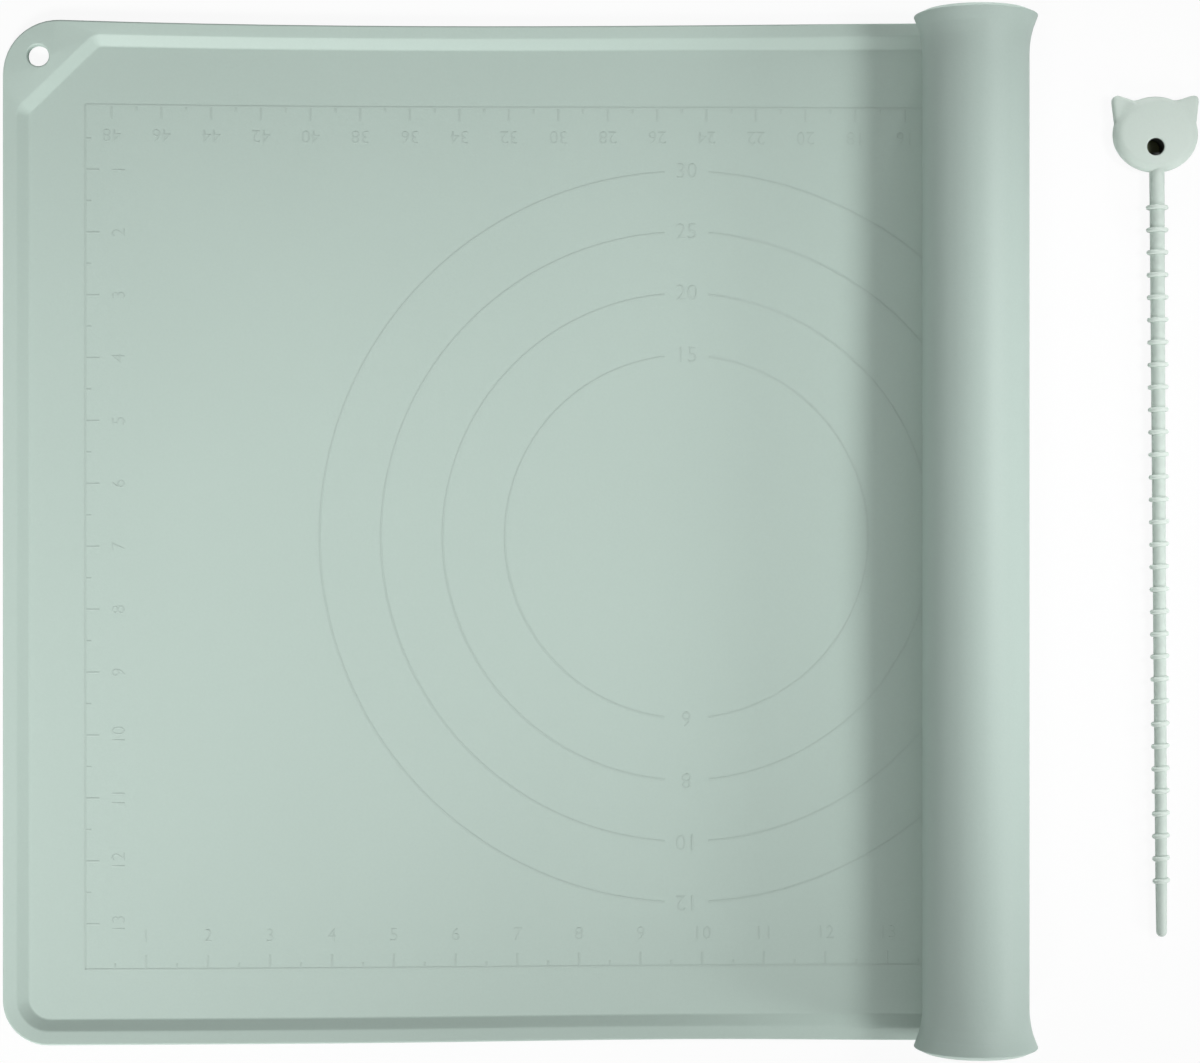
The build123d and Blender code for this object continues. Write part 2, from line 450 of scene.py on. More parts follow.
def planLines(riseStart):
    # Across the mat where it climbs and rolls, along its long rims there, and at its far rim
    form, cuts = matForm, planForm
    stations = list(np.arange(riseStart, form["flatLength"] - snapGap, cuts["riseStep"]))
    for start, radius, begin, end, _, _ in arcList:
        steps = 2 * math.ceil((end - begin) / 2 / math.radians(cuts["rollStepDegrees"]))
        stations += [start + radius * (end - begin) * k / steps for k in range(steps)]
    half = form["width"] / 2
    lines = [((x, -half - cuts["overrun"]), (x, half + cuts["overrun"])) for x in stations]
    for inset in cuts["alongInsets"]:
        for y in (inset - half, half - inset):
            lines.append(((riseStart, y), (matLength - cuts["alongEnd"], y)))
    first, last = (matLength - inset for inset in cuts["endInsets"])
    for y in np.linspace(-cuts["endReach"], cuts["endReach"], cuts["endLines"]):
        lines.append(((first, y), (last, y)))
    return lines


def planMesh():
    form, cuts = matForm, planForm
    points, edges = [], []
    for ring in planLoops():
        # Long sides are cut into short steps, so that a corner's slope shades no long sliver
        first = len(points)
        for here, after in zip(ring, np.roll(ring, -1, axis=0)):
            steps = math.ceil(np.linalg.norm(after - here) / cuts["loopStep"])
            points.extend(here + (after - here) * k / steps for k in range(steps))
        count = len(points) - first
        edges.extend((first + k, first + (k + 1) % count) for k in range(count))
    riseStart = form["flatLength"] - form["riseLength"]
    for line in planLines(riseStart):
        edges.append((len(points), len(points) + 1))
        points.extend(line)
    step, reach = cuts["bedStep"], cuts["bedReach"]
    for x in np.arange(2 * step, riseStart - cuts["bedGap"], step):
        for y in np.arange(-reach, reach, step * cuts["bedSquash"]):
            if not (x < cuts["padLength"] and y > cuts["padSide"]):
                points.append((x, y))
    plan = delaunay_2d_cdt([Vector(p) for p in points], edges, [], 0, cuts["weld"])
    flat = np.array([tuple(v) for v in plan[0]])
    faces = np.array([tuple(f) for f in plan[2]])
    return flat, keptFaces(flat, faces)


def keptFaces(flat, faces):
    # Only what lies in the mat and outside its hole, with each face turned the same way
    middles = flat[faces].mean(axis=1)
    cuts, radius = planForm, matForm["holeRadius"]
    flats = radius * math.cos(math.pi / cuts["holeSides"])
    kept = signedDistance(middles, roundedRing(*matOutline(), 0)) < 0
    kept &= signedDistance(middles, holeCentre + flats * unitCircle(cuts["holeSides"])) > 0
    kept &= np.linalg.norm(middles - holeCentre, axis=1) > radius * cuts["holeShare"]
    faces = faces[kept]
    corner = flat[faces]
    area = np.cross(corner[:, 1] - corner[:, 0], corner[:, 2] - corner[:, 0])
    some = np.abs(area) > cuts["leastArea"]
    faces, area = faces[some], area[some]
    faces[area < 0] = faces[area < 0][:, ::-1]
    return faces


def openEdges(faces):
    pairs = np.concatenate([faces[:, [0, 1]], faces[:, [1, 2]], faces[:, [2, 0]]])
    seen = set(map(tuple, pairs.tolist()))
    return [pair for pair in map(tuple, pairs.tolist()) if pair[::-1] not in seen]


def closedShell(faces, count):
    # The faces of a plan, the same ones turned over for its underside, and walls between them
    under = faces[:, ::-1] + count
    walls = [(a, a + count, b + count, b) for a, b in openEdges(faces)]
    return [tuple(f) for f in faces.tolist()] + [tuple(f) for f in under.tolist()] + walls


def makeMesh(name, points, faces, materials=(), normals=None):
    mesh = bpy.data.meshes.new(name)
    mesh.from_pydata([tuple(p) for p in points], [], faces)
    mesh.validate()
    mesh.polygons.foreach_set("use_smooth", [True] * len(mesh.polygons))
    if normals is not None:
        mesh.normals_split_custom_set_from_vertices([tuple(n) for n in normals])
    for material in materials:
        mesh.materials.append(material)
    return addObject(name, mesh)


planPoints, planFaces = planMesh()
planTop, planUnder = matHeights(planPoints)
topFlat = np.column_stack([planPoints, planTop])
underFlat = np.column_stack([planPoints, planUnder])
matPoints = np.concatenate([wrapPoints(topFlat), wrapPoints(underFlat)])
print("mat worked out with", len(planPoints), "plan points and", len(planFaces), "plan faces")


def vertexNormals(points, faces, nothing=1e-12):
    normals = np.zeros_like(points)
    for size in (3, 4):
        some = np.array([f for f in faces if len(f) == size])
        if not len(some):
            continue
        a, b, c = points[some[:, 0]], points[some[:, 1]], points[some[:, -1]]
        facing = np.cross(b - a, c - a)
        for column in range(size):
            np.add.at(normals, some[:, column], facing)
    sizes = np.linalg.norm(normals, axis=1, keepdims=True)
    return normals / np.maximum(sizes, nothing)


matNormals = vertexNormals(matPoints, closedShell(planFaces, len(planPoints)))
faceMiddles = planPoints[planFaces].mean(axis=1)[:, 0]
faceOwner = np.searchsorted(seams, faceMiddles)


# Marks: thin raised lines, ticks and figures, set out on the flat mat as the photo shows them.
# Places are in the photo's pixels, and heights and widths in mm
markForm = {
    "pixel": 0.4124,
    "leftEdge": 5.0,
    "midHeight": 531.5,
    "raise": 0.06,
    "sink": 0.15,
    "lineWidth": 0.85,
    "leftLine": 85.0,
    "topLine": 106.0,
    "bottomLine": 967.0,
    "flatStep": 6.0,
    "fineStep": 1.2,
    "circleCentre": (683.5, 537.0),
    "circleRadii": (181.5, 243.5, 305.0, 366.0),
    "circleInches": (6, 8, 10, 12),
    "circleCentimetres": (15, 20, 25, 30),
    "labelGap": 22.0,
    "labelSize": 9.4,
    "figureSize": 7.8,
    "figureCurve": 3,
    "figureThin": 0.006,
    "figureWeld": 1e-4,
}


def fromPhoto(x, y):
    form = markForm
    return ((x - form["leftEdge"]) * form["pixel"], (form["midHeight"] - y) * form["pixel"])


markShells = {owner: [] for owner in range(matForm["stripCount"] + 1)}


def pieceAt(along):
    return int(np.searchsorted(seams, along))


def onSurface(points, up):
    # Plan points on the mat's skin, as far over or under it as up says
    return wrapPoints(np.column_stack([points, bedHeight(points) + up]))


def addMark(points, faces, owner=None):
    # A flat shape given as plan points and triangles becomes a thin closed shell on the skin
    points = np.asarray(points, dtype=float)
    if owner is None:
        owner = pieceAt(points[:, 0].mean())
    top, under = onSurface(points, markForm["raise"]), onSurface(points, -markForm["sink"])
    shell = closedShell(np.asarray(faces), len(points))
    markShells[owner].append((np.concatenate([top, under]), shell))


def ribbon(line):
    # A line of points as runs of quads, one run for each piece of the mat that it crosses
    line = np.asarray(line, dtype=float)
    ahead = np.roll(line, -1, axis=0) - line
    behind = line - np.roll(line, 1, axis=0)
    ahead[-1], behind[0] = behind[-1], ahead[0]
    along = ahead / np.linalg.norm(ahead, axis=1)[:, None]
    along += behind / np.linalg.norm(behind, axis=1)[:, None]
    along /= np.linalg.norm(along, axis=1)[:, None]
    sideways = np.column_stack([-along[:, 1], along[:, 0]]) * markForm["lineWidth"] / 2
    owners = [pieceAt(way) for way in (line[:-1, 0] + line[1:, 0]) / 2]
    start = 0
    for index in range(1, len(owners) + 1):
        if index < len(owners) and owners[index] == owners[start]:
            continue
        chain = list(range(start, index + 1))
        size = len(chain)
        faces = []
        for k in range(size - 1):
            faces += [(k, size + k, size + k + 1), (k, size + k + 1, k + 1)]
        left, right = line[chain] + sideways[chain], line[chain] - sideways[chain]
        addMark(np.concatenate([left, right]), faces, owners[start])
        start = index


def densified(first, last):
    first, last = np.array(first, dtype=float), np.array(last, dtype=float)
    climbs = max(first[0], last[0]) > matForm["flatLength"] - matForm["riseLength"]
    step = markForm["fineStep" if climbs else "flatStep"]
    count = max(1, math.ceil(np.linalg.norm(last - first) / step))
    return [first + (last - first) * k / count for k in range(count + 1)]


def frameLines():
    form = markForm
    left, top = fromPhoto(form["leftLine"], form["topLine"])
    _, bottom = fromPhoto(form["leftLine"], form["bottomLine"])
    right = matLength - left
    ribbon(densified((left, bottom), (left, top)))
    ribbon(densified((left, top), (right, top)))
    ribbon(densified((left, bottom), (right, bottom)))
    ribbon(densified((right, bottom), (right, top)))


def circleLines():
    # Each circle in two halves, with a gap for its figure at both ends
    form = markForm
    centre = np.array(fromPhoto(*form["circleCentre"]))
    for pixels in form["circleRadii"]:
        radius = pixels * form["pixel"]
        gap = math.asin(form["labelGap"] * form["pixel"] / radius)
        for half in (0, 1):
            first = -math.pi / 2 + gap + math.pi * half
            last = first + math.pi - 2 * gap
            count = math.ceil((last - first) * radius / form["fineStep"])
            turns = [first + (last - first) * k / count for k in range(count + 1)]
            ribbon([centre + radius * np.array([math.cos(t), math.sin(t)]) for t in turns])


def textPlan(body, size):
    # One figure's outline as flat points and triangles
    form = markForm
    words = bpy.data.curves.new("figure", "FONT")
    words.body = body
    words.size = size
    words.align_x = "CENTER"
    words.align_y = "CENTER"
    words.resolution_u = form["figureCurve"]
    words.offset = -form["figureThin"] * size
    holder = addObject("figure", words)
    graph = bpy.context.evaluated_depsgraph_get()
    mesh = bpy.data.meshes.new_from_object(holder.evaluated_get(graph))
    bpy.data.objects.remove(holder)
    shape = bmesh.new()
    shape.from_mesh(mesh)
    bpy.data.meshes.remove(mesh)
    weld = size * form["figureWeld"]
    bmesh.ops.remove_doubles(shape, verts=shape.verts, dist=weld)
    bmesh.ops.triangulate(shape, faces=shape.faces)
    bmesh.ops.dissolve_degenerate(shape, edges=shape.edges, dist=weld)
    bmesh.ops.triangulate(shape, faces=shape.faces)
    shape.verts.index_update()
    points = np.array([v.co[:2] for v in shape.verts])
    faces = []
    for face in shape.faces:
        order = [v.index for v in face.verts]
        faces.append(order[::-1] if face.normal.z < 0 else order)
    shape.free()
    return points, np.array(faces)


figurePlans = {}


def figure(body, place, turn, size=markForm["figureSize"]):
    key = (str(body), size)
    if key not in figurePlans:
        figurePlans[key] = textPlan(*key)
    points, faces = figurePlans[key]
    cos, sin = math.cos(math.radians(turn)), math.sin(math.radians(turn))
    addMark(points @ np.array([[cos, sin], [-sin, cos]]) + place, faces)


# Geometry Nodes: what repeats grows from a tree with named inputs
def newTree(name, **inputs):
    tree = bpy.data.node_groups.new(name, "GeometryNodeTree")
    tree.interface.new_socket("Geometry", in_out="OUTPUT", socket_type="NodeSocketGeometry")
    for title, kind in inputs.items():
        tree.interface.new_socket(title, in_out="INPUT", socket_type="NodeSocket" + kind)
    given = tree.nodes.new("NodeGroupInput")
    return tree, {title: Wire(tree, given.outputs[title]) for title in inputs}


def endTree(tree, copies, material, smooth=False):
    real = addNode(tree, "GeometryNodeRealizeInstances", {"Geometry": copies})
    if smooth:
        real = addNode(tree, "GeometryNodeSetShadeSmooth", {"Geometry": real})
    painted = addNode(tree, "GeometryNodeSetMaterial", {"Geometry": real, "Material": material})
    plug(tree, painted, tree.nodes.new("NodeGroupOutput").inputs["Geometry"])
    return tree


# Ticks: a row of equal bars on the flat mat
def rowTree():
    tree, given = newTree(
        "markRow", Count="Int", First="Vector", Pitch="Vector", Bar="Vector", Material="Material"
    )
    places = {"Count": given["Count"], "Start Location": given["First"], "Offset": given["Pitch"]}
    line = addNode(tree, "GeometryNodeMeshLine", places)
    bar = addNode(tree, "GeometryNodeMeshCube", {"Size": given["Bar"]})
    copies = addNode(tree, "GeometryNodeInstanceOnPoints", {"Points": line, "Instance": bar})
    return endTree(tree, copies, given["Material"])


def grownBy(tree, values):
    holder = addObject("seed", bpy.data.meshes.new("seed"))
    modifier = holder.modifiers.new("grow", "NODES")
    modifier.node_group = tree
    for item in tree.interface.items_tree:
        if item.item_type == "SOCKET" and item.in_out == "INPUT" and item.name in values:
            modifier[item.identifier] = values[item.name]
    graph = bpy.context.evaluated_depsgraph_get()
    made = bpy.data.meshes.new_from_object(holder.evaluated_get(graph))
    holder.modifiers.clear()
    bpy.data.objects.remove(holder)
    return made


markRow = rowTree()
barCorners = 8


def tickRow(count, first, pitch, length, across):
    # across is the direction of each bar, as a plan vector of length one; the bars start where
    # the frame's line ends, because faces that lie in each other show as dark spots
    width = markForm["lineWidth"]
    length -= width / 2
    bar = [abs(a) * length + (1 - abs(a)) * width for a in across]
    start = np.array(first) + np.array(across) * (width + length) / 2
    values = {
        "Count": count,
        "First": (*start, 0.0),
        "Pitch": (*pitch, 0.0),
        "Bar": (*bar, 1.0),
        "Material": markSilicone,
    }
    mesh = grownBy(markRow, values)
    corners = np.array([v.co[:] for v in mesh.vertices])
    sides = [tuple(p.vertices) for p in mesh.polygons]
    bpy.data.meshes.remove(mesh)
    for low in range(0, count * barCorners, barCorners):
        box = corners[low:low + barCorners]
        up = np.where(box[:, 2] > 0, markForm["raise"], -markForm["sink"])
        faces = [tuple(k - low for k in side) for side in sides if 0 <= side[0] - low < barCorners]
        markShells[pieceAt(box[:, 0].mean())].append((onSurface(box[:, :2], up), faces))


# Each row's first tick and first figure in the photo, and which way its ticks and numbers run
rulerForm = {
    "longTick": 14.0,
    "shortTick": 6.0,
    "rows": {
        "left": {
            "first": (markForm["leftLine"], 171.5),
            "firstFigure": (118.5, 171.5),
            "pitch": 62.55,
            "along": (0, -1),
            "across": (1, 0),
            "shortAt": -0.5,
            "turn": 90,
            "numbers": range(1, 14),
        },
        "bottom": {
            "first": (145.2, markForm["bottomLine"]),
            "firstFigure": (145.2, 934.5),
            "pitch": 61.55,
            "along": (1, 0),
            "across": (0, 1),
            "shortAt": -0.5,
            "turn": 0,
            "numbers": range(1, 17),
        },
        "top": {
            "first": (110.9, markForm["topLine"]),
            "firstFigure": (110.9, 136.0),
            "pitch": 49.4,
            "along": (1, 0),
            "across": (0, -1),
            "shortAt": 0.5,
            "turn": 180,
            "numbers": range(48, 10, -2),
        },
    },
}


def ruler(row):
    pixel = markForm["pixel"]
    pitch = np.array(row["along"]) * row["pitch"] * pixel
    count, across = len(row["numbers"]), row["across"]
    first, firstFigure = (np.array(fromPhoto(*row[key])) for key in ("first", "firstFigure"))
    tickRow(count, first, pitch, rulerForm["longTick"] * pixel, across)
    short = first + pitch * row["shortAt"]
    tickRow(count, short, pitch, rulerForm["shortTick"] * pixel, across)
    for step, number in enumerate(row["numbers"]):
        figure(number, firstFigure + pitch * step, row["turn"])


def circleLabels():
    form = markForm
    x, y = fromPhoto(*form["circleCentre"])
    labels = zip(form["circleRadii"], form["circleInches"], form["circleCentimetres"])
    for pixels, inches, centimetres in labels:
        radius = pixels * form["pixel"]
        figure(inches, (x, y - radius), 180, form["labelSize"])
        figure(centimetres, (x, y + radius), 0, form["labelSize"])


frameLines()
circleLines()
for rulerRow in rulerForm["rows"].values():
    ruler(rulerRow)
circleLabels()
print("marks set out in", sum(len(shells) for shells in markShells.values()), "shells")


def matPiece(owner):
    # One piece of the sheet with its marks, as a closed shell with the whole sheet's normals
    faces = planFaces[faceOwner == owner]
    used = np.unique(faces)
    count = len(planPoints)
    lookup = np.full(count, -1)
    lookup[used] = np.arange(len(used))
    shell = closedShell(lookup[faces], len(used))
    both = np.concatenate([used, used + count])
    places, normals = matPoints[both], matNormals[both]
    top, mark, under = 0, 1, 2
    paint = [top] * len(faces) + [under] * len(faces) + [top] * (len(shell) - 2 * len(faces))
    for points, sides in markShells[owner]:
        shell += [tuple(k + len(places) for k in side) for side in sides]
        paint += [mark] * len(sides)
        places = np.concatenate([places, points])
        normals = np.concatenate([normals, vertexNormals(points, sides)])
    name = "matSheet" if owner == 0 else f"matRoll{owner:02d}"
    piece = makeMesh(name, places, shell, [matSilicone, markSilicone, underSilicone], normals)
    piece.data.polygons.foreach_set("material_index", paint)
    return piece


def seamPoint(along):
    return tuple(float(v) for v in wrapPoints([(along, 0.0, matForm["sheet"] / 2)])[0])


matPieces = [matPiece(owner) for owner in range(matForm["stripCount"] + 1)]
for owner, piece in enumerate(matPieces):
    if owner == 0:
        seamPoint(matForm["flatLength"])
        seamPoint(seams[0])
        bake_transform(piece)
        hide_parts("mat_bed", "roll_strip_01")
    elif owner < matForm["stripCount"]:
        seamPoint(seams[owner - 1])
        seamPoint(seams[owner])
        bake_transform(piece)
        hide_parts(f"roll_strip_{owner + 1:02d}")
    else:
        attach(piece, f"strip_{owner:02d}")
print("mat made in", len(matPieces), "pieces")


# Tie, in mm: worked out around the middle of its head, then turned a little and laid in place
tieForm = {"place": (474.0 - matForm["middle"], 163.9, 4.6), "lean": 0.4}


def layTie(points):
    turn = math.radians(tieForm["lean"])
    cos, sin = math.cos(turn), math.sin(turn)
    turned = np.asarray(points, dtype=float) @ np.array([[cos, sin, 0], [-sin, cos, 0], [0, 0, 1]])
    return (turned + tieForm["place"]) * mm


# Tie head: a pebble with two ears, worked out on a plan of rays around the eye
headForm = {
    "shift": 0.6,
    "halfWidth": 17.7,
    "halfHeight": 15.7,
    "edge": 3.8,
    "crown": 1.0,
    "earCorners": [(0.3, 0.3), (0.96, 0.3), (1.04, 1.09), (0.43, 0.86)],  # shares of the head
    "earRadii": [0.3, 0.6, 1.8, 0.3],
    "earArcDegrees": 12,
    "earHalf": 2.2,
    "earRound": 1.5,
    "crease": 0.8,
    "eyeRadius": 3.45,
    "eyeDrop": 5.5,
    "eyeShift": 0.8,
    "lip": 0.8,
    "lipSteps": 6,
    "lipFlat": 0.8,
    # The eye's painted shade: how dark its wall gets, where the dark ends and how fast it falls
    "eyeDark": 0.06,
    "eyeDarkReach": 3.7,
    "eyeDarkSlope": 4,
    "rays": 144,
    "rayLength": 34.0,
    "rayTrials": 900,
    "smoothing": 2,
    "ovalSides": 96,
    "edgeDepths": (1.9, 1.3, 0.85, 0.5, 0.25, 0.1, 0.03, 0.0),
    "betweenRows": (0.06, 0.94, 14),  # the first and last as a share of the way, and how many
    "leastHeight": 0.12,
}


def eyeMiddle():
    form = headForm
    return layTie([(-form["shift"] - form["eyeShift"], -form["eyeDrop"], 0)])[0]


def eyeShade(tree, place):
    # Painted shade for the hollow of the eye: 1 over the tie, falling to nearly black on the wall
    # of the eye
    form = headForm
    x, y, _ = eyeMiddle()
    level = addNode(
        tree, "ShaderNodeVectorMath", {0: place, 1: (1, 1, 0)}, operation="MULTIPLY"
    )
    away = addNode(
        tree, "ShaderNodeVectorMath", {0: level, 1: (x, y, 0)}, "Value", operation="DISTANCE"
    )
    lit = ((away / mm - form["eyeDarkReach"]) * form["eyeDarkSlope"] + 1).between(0, 1)
    return lit * (1 - form["eyeDark"]) + form["eyeDark"]


tieSilicone = makeSilicone("tieSilicone", tieLook, eyeShade)


def earRings(form):
    corners = [(x * form["halfWidth"], y * form["halfHeight"]) for x, y in form["earCorners"]]
    right = roundedRing(corners, form["earRadii"], 0, math.radians(form["earArcDegrees"]))
    left = (right * (-1, 1))[::-1]
    return right, left


def softMax(a, b, size):
    overlap = np.clip(size - np.abs(a - b), 0, None) / size
    return np.maximum(a, b) + overlap ** 2 * size / 4


def headHeight(points, form, rings):
    sizes = np.array([form["halfWidth"], form["halfHeight"]])
    depth = -signedDistance(points, unitCircle(form["ovalSides"]) * sizes)
    inside = 1 - ((points / sizes) ** 2).sum(axis=1)
    pebble = form["edge"] - edgeFall(depth, form["edge"]) + form["crown"] * inside
    pebble = np.where(depth > 0, pebble, 0)
    ears = np.zeros(len(points))
    for ring in rings:
        depth = -signedDistance(points, ring)
        raised = form["earHalf"] - edgeFall(depth, form["earRound"])
        ears = np.maximum(ears, np.where(depth > 0, raised, 0))
    return softMax(pebble, ears, form["crease"])


def headReach(form, rings, eye, rays):
    # How far the head goes from the eye along each ray, with the corners at the ears eased
    sizes = np.array([form["halfWidth"], form["halfHeight"]])
    trial = np.linspace(form["eyeRadius"], form["rayLength"], form["rayTrials"])
    reach = np.zeros(len(rays))
    for index, ray in enumerate(rays):
        spots = eye + trial[:, None] * ray
        inside = ((spots / sizes) ** 2).sum(axis=1) < 1
        for ring in rings:
            inside |= signedDistance(spots, ring) < 0
        reach[index] = trial[inside].max()
    for _ in range(form["smoothing"]):
        reach = (np.roll(reach, 1) + 2 * reach + np.roll(reach, -1)) / 4
    return reach


def headRows(form, reach):
    # Rows of points round the eye: down its lip, over the head and close together at the edge
    lip, eye = form["lip"], form["eyeRadius"]
    turns = np.linspace(0, math.pi / 2, form["lipSteps"])
    inner = [eye + lip * (1 - math.cos(turn)) for turn in turns] + [eye + lip + form["lipFlat"]]
    rows = [np.full(len(reach), radius) for radius in inner]
    room = reach - form["edgeDepths"][0] - inner[-1]
    rows += [inner[-1] + room * way for way in np.linspace(*form["betweenRows"])]
    return rows + [reach - depth for depth in form["edgeDepths"]]


def tubeFaces(rows, count):
    # Quads between rows of points that go round
    quads = []
    for row in range(rows - 1):
        for k in range(count):
            a, b = row * count + k, row * count + (k + 1) % count
            quads.append((a, a + count, b + count, b))
    return quads


def makeHead():
    form = headForm
    rings = earRings(form)
    rays = unitCircle(form["rays"])
    eye = np.array([-form["eyeShift"], -form["eyeDrop"]])
    rows = headRows(form, headReach(form, rings, eye, rays))
    flat = np.concatenate([eye + row[:, None] * rays for row in rows])
    fromEye = np.linalg.norm(flat - eye, axis=1) - form["eyeRadius"]
    fromEye[np.abs(fromEye) < snapGap] = 0
    height = headHeight(flat, form, rings) - edgeFall(fromEye, form["lip"])
    height = np.maximum(height, form["leastHeight"])
    low = np.minimum(height, tieForm["place"][2])
    faces = []
    for a, b, c, d in tubeFaces(len(rows), len(rays)):
        faces += [(a, b, c), (a, c, d)]
    top, under = np.column_stack([flat, height]), np.column_stack([flat, -low])
    places = layTie(np.concatenate([top, under]) - (form["shift"], 0, 0))
    shell = closedShell(np.array(faces), len(flat))
    return makeMesh("tieHead", places, shell, [tieSilicone], vertexNormals(places, shell))


# Tie tail: a tapered rod that is turned round its own line, and ribs set out along it
tailForm = {
    "neckRadius": 3.1,
    "tailRadius": 2.4,
    "tipRadius": 2.2,
    "tipSteps": 7,
    "neckLength": 14.4,
    "ribPitch": 9.27,
    "ribCount": 31,
    "firstRib": 4.6,
    "lastRib": 3.6,
    "ribHalf": 0.95,
    "ribSides": 40,
    "ribEdgeSides": 16,
    "lastTurn": 8.0,
    "plainEnd": 23.3,
    "inHead": 8.0,
    "sides": 32,
}


def tailLine(form):
    ribbed = form["ribPitch"] * (form["ribCount"] - 1)
    sink = math.atan((form["firstRib"] - form["lastRib"]) / ribbed)
    start = np.array([0, -headForm["halfHeight"], 0])
    return start, np.array([0, -math.cos(sink), -math.sin(sink)])


def makeRod():
    form = tailForm
    start, along = tailLine(form)
    ribbed = form["neckLength"] + form["ribPitch"] * (form["ribCount"] - 1)
    end = ribbed + form["plainEnd"]
    tip = form["tipRadius"]
    stops = [(-form["inHead"], form["neckRadius"]), (0, form["neckRadius"])]
    stops += [(ribbed, form["tailRadius"]), (end - tip, tip)]
    for step in range(1, form["tipSteps"]):
        turn = math.pi / 2 * step / form["tipSteps"]
        stops.append((end - tip + tip * math.sin(turn), tip * math.cos(turn)))
    right = np.array([1, 0, 0])
    up = np.cross(right, along)
    ring = np.array([right * cos + up * sin for cos, sin in unitCircle(form["sides"])])
    places = np.concatenate([start + along * far + ring * radius for far, radius in stops])
    places = np.concatenate([places, [start + along * stops[0][0], start + along * end]])
    count = form["sides"]
    faces = tubeFaces(len(stops), count)
    lastRow, first, final = (len(stops) - 1) * count, len(places) - 2, len(places) - 1
    for k in range(count):
        after = (k + 1) % count
        faces += [(first, k, after), (final, lastRow + after, lastRow + k)]
    return makeMesh("tieRod", layTie(places), faces, [tieSilicone])


def ribTree():
    tree, given = newTree(
        "ribRow",
        Count="Int",
        First="Vector",
        Pitch="Vector",
        RingRadius="Float",
        RingSides="Int",
        HalfThickness="Float",
        EdgeSides="Int",
        LastScale="Float",
        LastTurn="Float",
        Material="Material",
    )
    places = {"Count": given["Count"], "Start Location": given["First"], "Offset": given["Pitch"]}
    line = addNode(tree, "GeometryNodeMeshLine", places)
    ring, profile = (
        addNode(
            tree,
            "GeometryNodeCurvePrimitiveCircle",
            {"Radius": given[radius], "Resolution": given[sides]},
        )
        for radius, sides in (("RingRadius", "RingSides"), ("HalfThickness", "EdgeSides"))
    )
    tube = addNode(tree, "GeometryNodeCurveToMesh", {"Curve": ring, "Profile Curve": profile})
    upright = {"Geometry": tube, "Rotation": (math.pi / 2, 0, 0)}
    rib = addNode(tree, "GeometryNodeTransform", upright)
    way = addNode(tree, "GeometryNodeInputIndex") / (given["Count"] - 1)
    sizes = {"Value": way, "To Min": 1, "To Max": given["LastScale"]}
    size = addNode(tree, "ShaderNodeMapRange", sizes)
    scale = addNode(tree, "ShaderNodeCombineXYZ", {"X": size, "Y": 1, "Z": size})
    turned = addNode(tree, "ShaderNodeCombineXYZ", {"Z": way * given["LastTurn"]})
    copies = addNode(
        tree,
        "GeometryNodeInstanceOnPoints",
        {"Points": line, "Instance": rib, "Scale": scale, "Rotation": turned},
    )
    return endTree(tree, copies, given["Material"], smooth=True)


def makeRibs():
    form = tailForm
    start, along = tailLine(form)
    stations = [form["neckLength"] + form["ribPitch"] * k for k in (0, 1)]
    first, second = layTie([start + along * station for station in stations])
    values = {
        "Count": form["ribCount"],
        "First": tuple(first),
        "Pitch": tuple(second - first),
        "RingRadius": (form["firstRib"] - form["ribHalf"]) * mm,
        "RingSides": form["ribSides"],
        "HalfThickness": form["ribHalf"] * mm,
        "EdgeSides": form["ribEdgeSides"],
        "LastScale": form["lastRib"] / form["firstRib"],
        "LastTurn": math.radians(form["lastTurn"]),
        "Material": litRibSilicone,
    }
    mesh = grownBy(ribTree(), values)
    mesh.name = "tieRibs"
    return addObject("tieRibs", mesh)


tiePieces = [makeHead(), makeRod(), makeRibs()]
for piece in tiePieces:
    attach(piece, "tie")
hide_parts("tie")
print("tie made")


# Table: white to the camera, while it still takes the shadow
tableForm = {
    "size": 3.0,
    "level": -0.0002,
    "color": (0.82, 0.83, 0.83, 1),
    "roughness": 0.9,
    "glow": 0.92,
}
white = (1, 1, 1, 1)


def mixInWhite(tree, surface, share, kind, output):
    # Plain white over a surface, as much as the share says
    plain = addNode(tree, kind, {"Color": white, "Strength": 1.0})
    shaders = {0: share, 1: Wire(tree, surface.outputs[0]), 2: plain}
    mixed = addNode(tree, "ShaderNodeMixShader", shaders)
    plug(tree, mixed, tree.nodes[output].inputs["Surface"])


def makeTable():
    form = tableForm
    half = form["size"] / 2
    corners = [(x * half, y * half, form["level"]) for x, y in ((-1, -1), (1, -1), (1, 1), (-1, 1))]
    material, tree, shader = newMaterial("tablePaper")
    shader.inputs["Base Color"].default_value = form["color"]
    shader.inputs["Roughness"].default_value = form["roughness"]
    seen = addNode(tree, "ShaderNodeLightPath", output="Is Camera Ray") * form["glow"]
    mixInWhite(tree, shader, seen, "ShaderNodeEmission", "Material Output")
    return makeMesh("table", corners, [(0, 1, 2, 3)], [material])


makeTable()

# The photo shows the eye nearly black inside: a dark disc lies on the table under it
# The disc is painted shadow: it stands for the table in the shade of the head, seen through the eye
eyeShadowDiscForm = {"radius": 4.4, "height": 0.02, "color": (0.12, 0.14, 0.05, 1), "sides": 40}


def makeSpot():
    form = eyeShadowDiscForm
    x, y, _ = eyeMiddle()
    circle = unitCircle(form["sides"]) * form["radius"] * mm
    places = [(x + across, y + up, form["height"] * mm) for across, up in circle]
    material, _, shader = newMaterial("eyeShade")
    shader.inputs["Base Color"].default_value = form["color"]
    return makeMesh("eyeShade", places, [tuple(range(len(places)))], [material])


makeSpot()

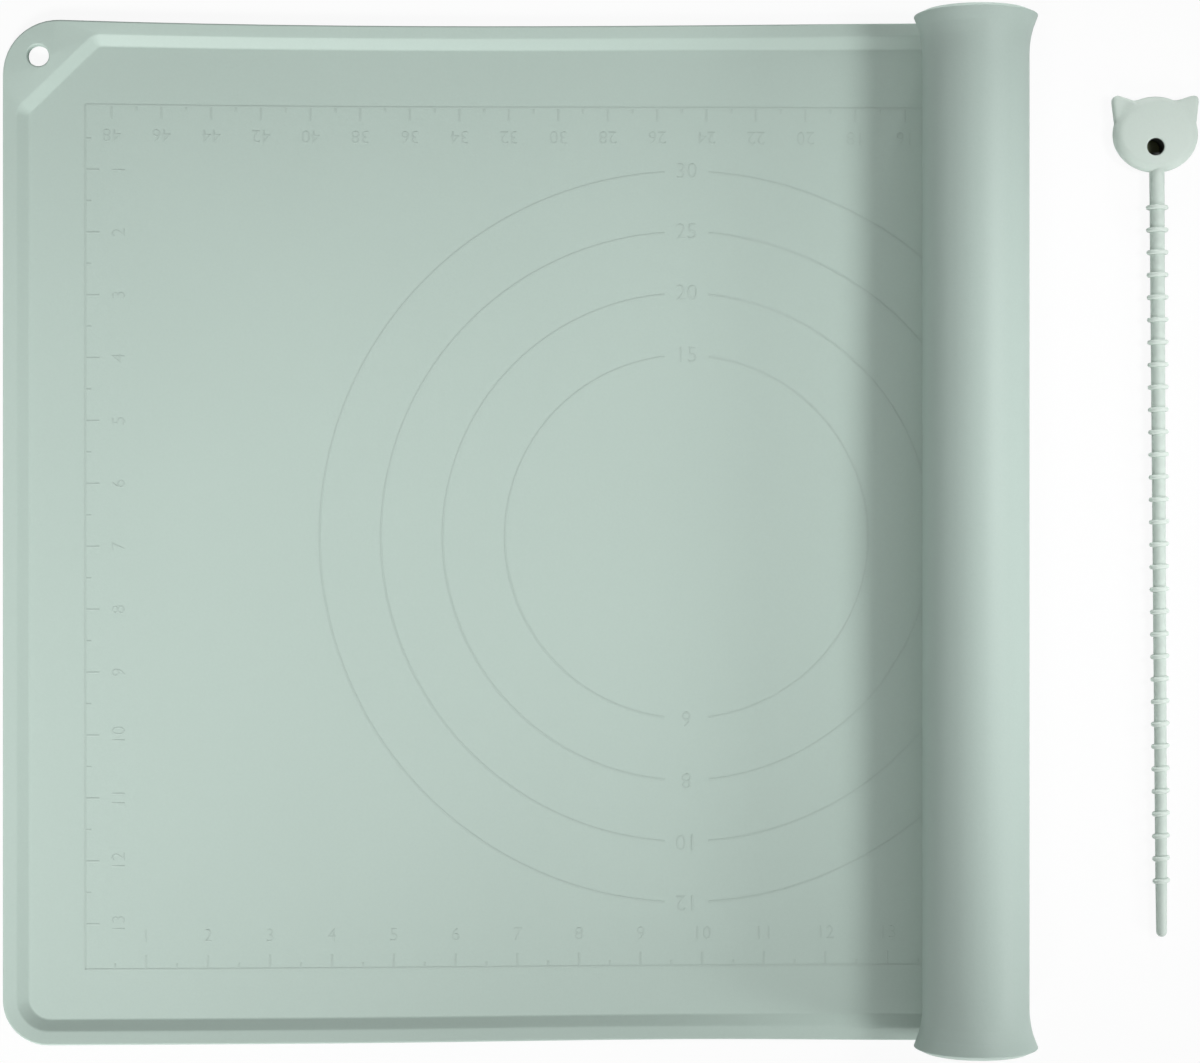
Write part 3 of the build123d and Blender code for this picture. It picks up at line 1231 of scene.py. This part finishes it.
# Lights: one from the near side for the mat, two from beyond the roll, so that it shades the mat
# beside it, one from the far side along the tie, and two low ones for the roll's end faces.
# Places are in metres, cones in degrees and powers in watts
lightForm = {
    "front": {
        "place": (-0.52, -1.3, 1.2),
        "aim": (-0.32, 0.02, 0),
        "soft": 0.3,
        "cone": 34,
        "power": 142.0,
    },
    "right": {
        "place": (0.55, 0.1, 0.62),
        "aim": (0.17, 0.02, 0),
        "soft": 0.1,
        "cone": 53,
        "power": 11.8,
    },
    "low": {
        "place": (0.7, -0.35, 0.3),
        "aim": (0.19, -0.08, 0.02),
        "soft": 0.08,
        "cone": 60,
        "power": 5.8,
    },
    "back": {
        "place": (0.32, 1.3, 0.35),
        "aim": (0.23, 0.0, 0),
        "soft": 0.08,
        "cone": 15,
        "power": 19.0,
    },
    "farEnd": {
        "place": (0.15, 0.95, 0.045),
        "aim": (0.16, 0.21, 0.045),
        "soft": 0.03,
        "cone": 14,
        "power": 11.0,
    },
    "nearEnd": {
        "place": (0.15, -0.95, 0.045),
        "aim": (0.16, -0.21, 0.045),
        "soft": 0.03,
        "cone": 14,
        "power": 9.0,
    },
}
roomStrength = 0.29


def makeLight(name, values):
    lamp = bpy.data.lights.new(name + "Light", "SPOT")
    lamp.energy = values["power"]
    lamp.shadow_soft_size = values["soft"]
    lamp.spot_size = math.radians(values["cone"])
    lamp.spot_blend = 1.0
    holder = addObject(lamp.name, lamp)
    holder.location = values["place"]
    towards = Vector(values["aim"]) - Vector(values["place"])
    holder.rotation_euler = towards.to_track_quat("-Z", "Y").to_euler()


def makeWorld():
    # The room lights with its own strength, and is plain white where the camera sees it
    world = bpy.data.worlds.new("room")
    world.use_nodes = True
    tree = world.node_tree
    room = tree.nodes["Background"]
    room.inputs["Color"].default_value = white
    room.inputs["Strength"].default_value = roomStrength
    seen = addNode(tree, "ShaderNodeLightPath", output="Is Camera Ray")
    mixInWhite(tree, room, seen, "ShaderNodeBackground", "World Output")
    bpy.context.scene.world = world


makeWorld()
for lightName, lightValues in lightForm.items():
    makeLight(lightName, lightValues)

cameraForm = {
    "aim": (-1.6, 0.0),
    "distance": 1132.0,
    "tilt": 1.6,
    "frameWidth": 494.9,
    "clipStart": 0.01,
}


def makeCamera():
    form = cameraForm
    lens = bpy.data.cameras.new("camera")
    lens.sensor_fit = "HORIZONTAL"
    lens.angle = 2 * math.atan(form["frameWidth"] / 2 / form["distance"])
    lens.clip_start = form["clipStart"]
    holder = addObject("camera", lens)
    tilt = math.radians(form["tilt"])
    away = form["distance"] * mm
    x, y = (value * mm for value in form["aim"])
    holder.location = (x - away * math.sin(tilt), y, away * math.cos(tilt))
    holder.rotation_euler = (0, -tilt, 0)
    bpy.context.scene.camera = holder


makeCamera()
scene = bpy.context.scene
scene.view_settings.view_transform = "Standard"
scene.view_settings.look = "None"
scene.view_settings.exposure = 0
scene.view_settings.gamma = 1
print("table, lights and camera placed")
